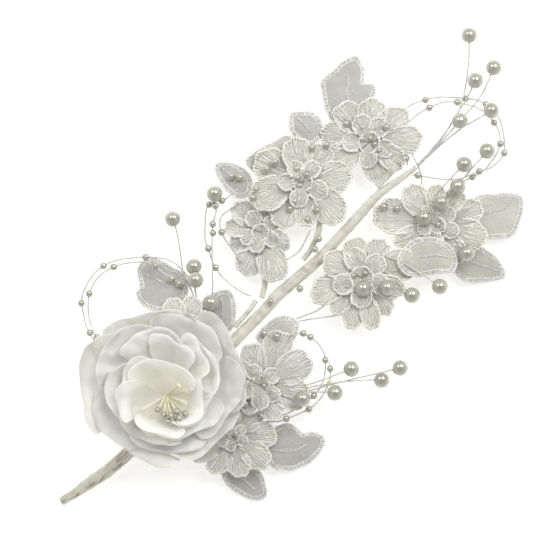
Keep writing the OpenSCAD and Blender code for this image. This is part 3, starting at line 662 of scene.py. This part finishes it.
def sheer_finish(name, tone, cover):
    """Sheer organza: a fine open weave that lets light through between its threads."""
    sheer = Finish(name, roughness=0.5, sheen_weight=0.3, specular_ior_level=0.4)
    parts = sheer.places()
    warp = sheer.add("TexWave", {"bands_direction": "X"}, output="fac", vector=parts, scale=900.0,
                     distortion=1.0)
    weft = sheer.add("TexWave", {"bands_direction": "Y"}, output="fac", vector=parts, scale=900.0,
                     distortion=1.0)
    cloud = sheer.noise(120, 3.0)
    weave = warp * 0.5 + weft * 0.5
    sheer.set(base_color=sheer.ramp(cloud, (0.3, tuple(0.92 * c for c in tone)), (0.7, tone)),
              alpha=(weave - 0.5) * 0.25 + (cloud - 0.5) * 0.12 + cover)
    return sheer


white_thread = lace_finish("white_embroidery", (0.76, 0.75, 0.69), (0.94, 0.93, 0.88))
ivory_thread = lace_finish("ivory_embroidery", (0.79, 0.775, 0.695), (0.94, 0.925, 0.84))
lace_sheer = sheer_finish("lace_organza", (0.67, 0.66, 0.60), 0.76)

# Centre, radius of the middle ring, thread, and petals as (heading, length)
FLOWERS = [
    ((0.0595, 0.0165, 0.0076), 0.0058, white_thread,
     [(85, 0.0184), (39, 0.0168), (-7, 0.0186), (-37, 0.020), (-80, 0.0155), (-118, 0.015),
      (160, 0.018), (122, 0.0185)]),
    ((0.0315, 0.0235, 0.0105), 0.0052, ivory_thread,
     [(55, 0.017), (107, 0.020), (155, 0.0205), (-165, 0.019), (-90, 0.0205), (-128, 0.0165),
      (-35, 0.0185), (10, 0.0165)]),
    ((0.0075, 0.0215, 0.0076), 0.0046, white_thread,
     [(88, 0.0146), (125, 0.0135), (159, 0.0125), (-155, 0.017), (-115, 0.0195), (-73, 0.012), (20, 0.011)]),
    ((0.0555, -0.023, 0.008), 0.0045, ivory_thread,
     [(124.5, 0.024), (81, 0.0185), (47, 0.0155), (10, 0.0165), (-20, 0.0187), (-60, 0.0193),
      (-105, 0.0165), (-150, 0.015), (159, 0.017)]),
    ((0.022, -0.017, 0.0105), 0.0063, ivory_thread,
     [(159, 0.020), (105, 0.016), (-175, 0.017), (-147, 0.0195), (-122, 0.0196), (-98, 0.017), (-62, 0.0165),
      (56, 0.0155), (14, 0.0165), (-28, 0.022)]),
    ((-0.0325, -0.0185, 0.010), 0.0052, white_thread,
     [(-13.5, 0.0213), (-60, 0.0188), (59, 0.016), (20, 0.022), (-165, 0.012), (-110, 0.014),
      (150, 0.012), (100, 0.013)]),
    ((-0.0535, -0.025, 0.007), 0.0032, white_thread,
     [(-42, 0.0164), (-85, 0.017), (-121, 0.0153), (-169, 0.0157), (164, 0.017),
      (105, 0.014), (45, 0.014), (0, 0.014)]),
    ((-0.038, 0.0157, 0.010), 0.004, white_thread,
     [(70, 0.013), (30, 0.013), (120, 0.013), (-20, 0.012)]),
]
stitch_gap = 0.00045


def evenly(line, gap):
    """Points a gap apart along a line of points."""
    out = [line[0]]
    left = gap
    for a, b in zip(line, line[1:]):
        length = (b - a).length
        while left <= length and length > 0:
            out.append(a + (b - a) * (left / length))
            left += gap
        left -= length
    return out


def stitched_cord(line, chance, thick=1.0):
    """A cord of satin stitches: its thickness swells at each stitch, and it wavers a little."""
    cord = []
    for i, point in enumerate(evenly(line, stitch_gap)):
        swell = (1.2 if i % 2 else 0.7) * chance.uniform(0.8, 1.2) * thick
        waver = Vector([chance.uniform(-0.00012, 0.00012) for k in range(3)])
        cord.append((*(point + waver), swell))
    return cord


def lace_petal(centre, heading, length, left, right, chance, order):
    """The surface of one petal as a function of u across it, from -1 to 1, and t along it.
    left and right are its half angles on the two sides."""
    tilt = chance.uniform(-0.03, 0.08)
    dome = chance.uniform(0.0004, 0.0012)
    ruffle = chance.uniform(0.0006, 0.0012)
    phase = chance.uniform(0, math.tau)
    scallops = chance.choice((3, 4, 5))

    def place(u, t, lift=0.0):
        u = max(-1.0, min(1.0, u))
        spread = max(0.0, math.cos(u * math.pi / 2)) ** 0.33
        edge = 1 + 0.05 * (abs(math.cos(scallops * 1.5 * u + phase)) - 0.6) * t * t
        r = length * t * spread * edge
        share = r / length
        angle = math.radians(heading + (left if u > 0 else right) * u)
        z = 0.0003 + 0.0003 * order + tilt * r + dome * math.sin(share * math.pi)
        z += ruffle * share * share * math.sin(4.2 * u + phase) + 0.0006 * u * share
        return centre + Vector((r * math.cos(angle), r * math.sin(angle), z + lift))

    return place


def lace_stitches(place, length, spread, chance):
    """The rim cord and the comb of looped stitches of one petal."""
    rim = [place(math.sin(k / 80 * math.pi / 2), 0.97, 0.0002) for k in range(-60, 61)]
    cords = [stitched_cord(rim, chance)]
    loops = []
    count = int(length * math.radians(spread) / 0.0013)
    for k in range(count):
        u = -0.88 + 1.76 * (k + 0.5) / count + chance.uniform(-0.03, 0.03)
        wide = chance.uniform(0.3, 0.7) / count
        inner = chance.uniform(0.5, 0.74)
        bend = chance.uniform(-0.05, 0.05)
        strand = []
        for side in (-1, 1):
            run = [0.96 - (0.96 - inner) * step / 5 for step in range(6)]
            for step, t in enumerate(run if side < 0 else reversed(run)):
                shake = chance.uniform(-0.22, 0.22) / count
                share = (0.96 - t) / (0.96 - inner)
                strand.append(place(u + side * wide + bend * share + shake, t, 0.00018))
        loops.append([(*point, chance.uniform(0.75, 1.25)) for point in strand])
    for k in range(count):
        u = -0.92 + 1.84 * (k + 0.5) / count + chance.uniform(-0.02, 0.02)
        slant = chance.uniform(-0.4, 0.4) / count
        line = [place(u, 1.0, 0.0002), place(u + slant * 0.5, 0.96, 0.0008),
                place(u + slant, 0.9 - chance.uniform(0.0, 0.06), 0.0002)]
        loops.append([(*point, chance.uniform(0.9, 1.3)) for point in line])
    for k in range(count // 2):
        u = -0.8 + 1.6 * (k + 0.5) / (count // 2 + 1) + chance.uniform(-0.08, 0.08)
        start = chance.uniform(0.22, 0.36)
        stop = start + chance.uniform(0.06, 0.2)
        line = [place(u + 0.03 * s, start + (stop - start) * s, 0.0003) for s in (0, 0.5, 1)]
        loops.append([(*point, chance.uniform(0.7, 1.1)) for point in line])
    return cords, loops


def join_pieces(name, pieces):
    bpy.ops.object.select_all(action="DESELECT")
    for piece in pieces:
        piece.select_set(True)
    bpy.context.view_layer.objects.active = pieces[0]
    bpy.ops.object.join()
    whole = bpy.context.object
    whole.name = name
    return whole


for number, (centre, ring, thread, petals) in enumerate(FLOWERS, 1):
    chance = random.Random(40 + number)
    centre = Vector(centre)
    grounds, cords, loops = [], [], []
    flat_area = 0.0
    petals = sorted(petals)
    for order, (heading, length) in enumerate(petals):
        ahead = (petals[(order + 1) % len(petals)][0] - heading) % 360
        behind = (heading - petals[order - 1][0]) % 360
        left, right = min(36, 0.78 * ahead), min(36, 0.78 * behind)
        place = lace_petal(centre, heading, length, left, right, chance, order % 3)
        grounds.append(shaped_grid("petal_ground", 24, 12,
                                   lambda a, t, at=place: at(math.sin((a - 0.5) * math.pi), t)))
        more_cords, more_loops = lace_stitches(place, length, left + right, chance)
        cords += more_cords
        loops += more_loops
        flat_area += 0.37 * length * length * math.radians(left + right)
    for k in range(5):
        place = lace_petal(centre, 72 * k + chance.uniform(-12, 12), ring * chance.uniform(1.6, 2.0), 38, 38,
                           chance, 5 + k % 2)
        grounds.append(shaped_grid("petal_ground", 16, 8,
                                   lambda a, t, at=place: at(math.sin((a - 0.5) * math.pi), t)))
        more_cords, more_loops = lace_stitches(place, ring * 1.8, 60, chance)
        cords += more_cords
        loops += more_loops
    ring *= 0.62
    ring_line = []
    for a in range(121):
        angle = a * math.tau / 120
        wavy = ring * (1 + 0.10 * abs(math.sin(3.5 * angle)) + 0.03 * math.sin(2 * angle + number))
        ring_line.append(centre + Vector((wavy * math.cos(angle), wavy * math.sin(angle),
                                          0.0026 + 0.0003 * math.sin(a * 0.25))))
    cords.append(stitched_cord(ring_line, chance, 0.95))
    for k in range(22):
        angle = k * math.tau / 22 + chance.uniform(-0.08, 0.08)
        out = Vector((math.cos(angle), math.sin(angle), 0))
        loops.append([(*(centre + out * ring + Vector((0, 0, 0.0027))), 1.0),
                      (*(centre + out * (ring + chance.uniform(0.0009, 0.002))
                         + Vector((0, 0, 0.0022))), 0.8)])
    ground = join_pieces(f"lace_{number}_organza", grounds)
    finish_with(ground, ("SOLIDIFY", {"thickness": 0.00012, "offset": 0}))
    wear(ground, lace_sheer)
    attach(ground, "spray")
    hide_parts(f"lace_flower_{number}")
    cord = threads(f"lace_{number}_cords", cords, 0.00043, sides=1)
    loop = threads(f"lace_{number}_loops", loops, 0.00017, sides=0)
    embroidery = join_pieces(f"lace_{number}_embroidery", [cord, loop])
    wear(embroidery, thread)
    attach(embroidery, "spray")

# ---- Organza leaves ----------------------------------------------------------------------------------------------
# Leaves of the same sheer organza, with a wide border of zigzag stitches over a fine cord,
# and a few stitches for a vein. They droop at the tips, and those at the bottom of the
# spray rest on the table.
white_sheer = sheer_finish("white_leaf_organza", (0.54, 0.535, 0.51), 0.9)
warm_sheer = sheer_finish("warm_leaf_organza", (0.63, 0.615, 0.56), 0.92)
for sheer in (white_sheer, warm_sheer):
    sheer.bump(sheer.noise(150, 3.0, 0.6), 0.0016, 0.8)
leaf_thread = lace_finish("leaf_embroidery", (0.68, 0.675, 0.64), (0.94, 0.935, 0.90))
leaf_border = 0.0016


def upper_outline(node):
    """The outline of a flat CAD solid's upper face, in order round it."""
    solid = bmesh.new()
    solid.from_mesh(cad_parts[node].data)
    bmesh.ops.remove_doubles(solid, verts=solid.verts, dist=0.000002)
    top = {face for face in solid.faces if face.normal.z > 0.8}
    ahead = {}
    for face in top:
        for loop in face.loops:
            if not any(other in top for other in loop.edge.link_faces if other is not face):
                ahead[tuple(loop.vert.co)] = tuple(loop.link_loop_next.vert.co)
    start = min(ahead)
    line = [Vector(start)]
    while len(line) < len(ahead) and ahead[tuple(line[-1])] != start:
        line.append(Vector(ahead[tuple(line[-1])]))
    solid.free()
    return line


VEINS = {
    1: [(0.072, 0.0395), (0.070, 0.0375), (0.0665, 0.035), (0.065, 0.032)],
    2: [(0.0475, 0.042), (0.0475, 0.038), (0.047, 0.035)],
    3: [(0.0145, 0.049), (0.0145, 0.045), (0.0145, 0.041)],
    5: [(0.084, -0.036), (0.078, -0.036), (0.072, -0.033)],
    6: [(0.060, -0.051), (0.057, -0.045), (0.055, -0.041)],
    7: [(0.050, -0.034), (0.047, -0.030), (0.043, -0.027)],
    9: [(-0.0465, -0.039), (-0.0435, -0.043), (-0.040, -0.0455), (-0.0365, -0.0465)],
    10: [(-0.0625, -0.0375), (-0.062, -0.0405), (-0.062, -0.0445)],
    11: [(-0.034, 0.041), (-0.032, 0.036), (-0.031, 0.031)],
    12: [(-0.020, 0.0145), (-0.023, 0.011), (-0.026, 0.008)],
}
for number in range(1, 13):
    chance = random.Random(70 + number)
    outline = upper_outline(f"organza_leaf_{number}")
    middle = sum(outline, Vector()) / len(outline)
    normal = Vector()
    for a, b in zip(outline, outline[1:] + outline[:1]):
        normal += (a - middle).cross(b - middle)
    flat_area = normal.length / 2
    normal.normalize()
    wave = chance.uniform(0.0003, 0.0006)
    phase = chance.uniform(0, math.tau)
    ring = evenly(outline + outline[:1], 0.0012)
    if (ring[-1] - ring[0]).length < 0.0006:
        ring.pop()

    def on_leaf(u, t, lift=0.0):
        spot = (u % 1.0) * len(ring)
        i = int(spot)
        rim = ring[i % len(ring)].lerp(ring[(i + 1) % len(ring)], spot - i)
        turn = u * math.tau
        height = wave * t * t * math.sin(3 * turn + phase) + 0.0006 * (1 - t * t)
        return middle + (rim - middle) * t + normal * (height + lift - 0.0002)

    blade = shaped_grid(f"leaf_{number}_blade", len(ring), 12, on_leaf)
    finish_with(blade, ("SOLIDIFY", {"thickness": 0.00012, "offset": 0}))
    wear(blade, warm_sheer if 4 <= number <= 8 else white_sheer)
    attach(blade, "spray")
    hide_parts(f"organza_leaf_{number}")

    perimeter = len(ring) * 0.0012
    border = leaf_border * (0.6 if number == 4 else 1.0)
    depth = [border / (on_leaf(k / 240, 1) - middle).length for k in range(240)]
    cords, stitches = [], []
    count = int(perimeter / 0.00042)
    for k in range(count):
        u = (k + chance.uniform(-0.3, 0.3)) / count
        reach = depth[int(u * 240) % 240] * chance.uniform(0.75, 1.2)
        slant = chance.uniform(-0.6, 0.6) / count
        line = [on_leaf(u, 0.985, 0.0001), on_leaf(u + slant * 0.5, 0.985 - reach * 0.4, 0.0005),
                on_leaf(u + slant, 0.985 - reach, 0.0001)]
        stitches.append([(*point, chance.uniform(0.75, 1.2)) for point in line])
    edge = [on_leaf(k / 240, 0.975, 0.0001) for k in range(241)]
    cords.append(stitched_cord(edge, chance, 0.85))
    inner_edge = [on_leaf(k / 240, 0.985 - depth[k % 240], 0.0001) for k in range(241)]
    cords.append(stitched_cord(inner_edge, chance, 0.5))
    if number in VEINS:
        vein = evenly(smooth([Vector((x, y, 0)) for x, y in VEINS[number]], 0.0005), 0.0005)
        for point in vein:
            z = middle.z - (normal.x * (point.x - middle.x) + normal.y * (point.y - middle.y)) / normal.z
            side = Vector((chance.uniform(-0.0005, 0.0005), chance.uniform(-0.0005, 0.0005), 0))
            here = Vector((point.x, point.y, z + 0.0006))
            stitches.append([(*(here - side), 0.8), (*(here + Vector((0, 0, 0.0002))), 1.2),
                             (*(here + side), 0.8)])
    cord = threads(f"leaf_{number}_cords", cords, 0.00045, sides=1)
    stitch = threads(f"leaf_{number}_stitches", stitches, 0.00017, sides=0)
    embroidery = join_pieces(f"leaf_{number}_border", [cord, stitch])
    wear(embroidery, leaf_thread)
    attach(embroidery, "spray")

# ---- Pearls and wires ----------------------------------------------------------------------------------------------
# Round ivory pearls, half drilled and glued on the ends of thin steel wires, and seed pearls
# threaded on the loops or sewn to the lace. The wires keep their CAD shape, and each pearl is
# the CAD bead with its facets merged and smoothed.
wire = Finish("drawn_wire", metallic=0.25, roughness=0.35)
wire.set(base_color=wire.ramp(wire.noise(900), (0.3, (0.52, 0.52, 0.50)), (0.7, (0.76, 0.76, 0.73))))
wear(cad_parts["stem_core_wire"], wire)


def smoothed_copy(node, name):
    """A CAD node's shape with its triangles joined up and shaded smooth."""
    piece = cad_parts[node].copy()
    piece.data = piece.data.copy()
    piece.name = name
    piece.parent = None
    for key in list(piece.keys()):
        del piece[key]
    bpy.context.collection.objects.link(piece)
    bpy.ops.object.select_all(action="DESELECT")
    bpy.context.view_layer.objects.active = piece
    piece.select_set(True)
    bpy.ops.object.mode_set(mode="EDIT")
    bpy.ops.mesh.select_all(action="SELECT")
    bpy.ops.mesh.remove_doubles(threshold=0.000002)
    bpy.ops.object.mode_set(mode="OBJECT")
    bpy.ops.object.shade_smooth_by_angle(angle=math.radians(40))
    return piece


for node in [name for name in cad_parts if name.endswith("_wires")]:
    strands = smoothed_copy(node, "drawn_" + node)
    finish_with(strands, ("DISPLACE", {"strength": 0.00009, "mid_level": 0}))
    wear(strands, wire)
    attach(strands, "spray")
    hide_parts(node)

for node in ("top_spray_pearls", "side_spray_pearls", "lower_spray_pearls", "left_spray_pearls",
             "seed_pearls"):
    beads = smoothed_copy(node, "polished_" + node)
    wear(beads, pearl)
    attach(beads, "spray")
    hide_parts(node)

# A flattened gold crimp where the two wires of the lower loop meet
crimp_gold = Finish("worn_gold", metallic=1.0, roughness=0.3)
crimp_wear = crimp_gold.noise(1500, 3.0)
crimp_gold.set(base_color=crimp_gold.ramp(crimp_wear, (0.35, (0.62, 0.50, 0.26)), (0.7, (0.85, 0.73, 0.45))),
               roughness=crimp_wear * 0.3 + 0.2)
crimp = threads("gold_crimp", [[(-0.0133, -0.0355, 0.0092, 0.9), (-0.0137, -0.0358, 0.0092, 1.15),
                                (-0.0143, -0.0361, 0.0092, 1.15), (-0.0147, -0.0363, 0.0092, 0.9)]],
                0.00065, sides=3)
wear(crimp, crimp_gold)
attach(crimp, "spray")
